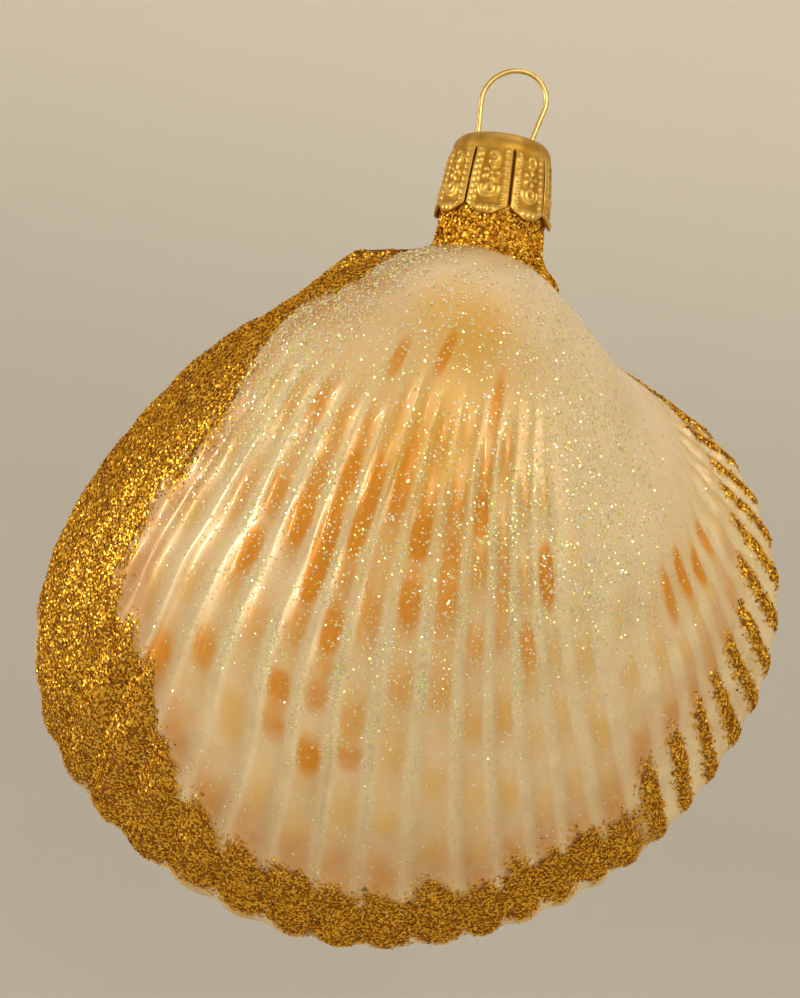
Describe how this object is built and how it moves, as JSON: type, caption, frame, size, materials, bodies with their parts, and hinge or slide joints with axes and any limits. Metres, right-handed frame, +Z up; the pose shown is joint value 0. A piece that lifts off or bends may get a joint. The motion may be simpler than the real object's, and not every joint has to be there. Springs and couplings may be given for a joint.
{
  "type": "glass shell ornament",
  "caption": "Hanging ornament in the shape of a closed ribbed clam shell: hollow glass body with a short neck, a stamped cap over it and a wire loop to hang it by.",
  "frame": {"origin": "inside top of the wire loop, where a hook or thread bears", "axes": "+Z up along the neck, away from the shell; +X to the right across the shell, towards the notch beside the beak, seen from the front; the two valves face -Y (front) and +Y (back) and meet in the plane y = 0"},
  "size_m": [0.0861, 0.0516, 0.1037],
  "materials": {
    "shell_glass": "pearl lacquer over silvered glass, cream with orange on the rib crests",
    "cap_metal": "thin stamped sheet, gold-toned, satin",
    "hanger_wire": "drawn spring wire, bright",
    "gold_glitter": "fine gold glitter in clear varnish",
    "pearl_glitter": "clear iridescent glitter in clear varnish"
  },
  "bodies": {
    "root": {"glass_shell": "shell_glass", "cap": "cap_metal", "wire_hanger": "hanger_wire"}
  },
  "joints": []
}
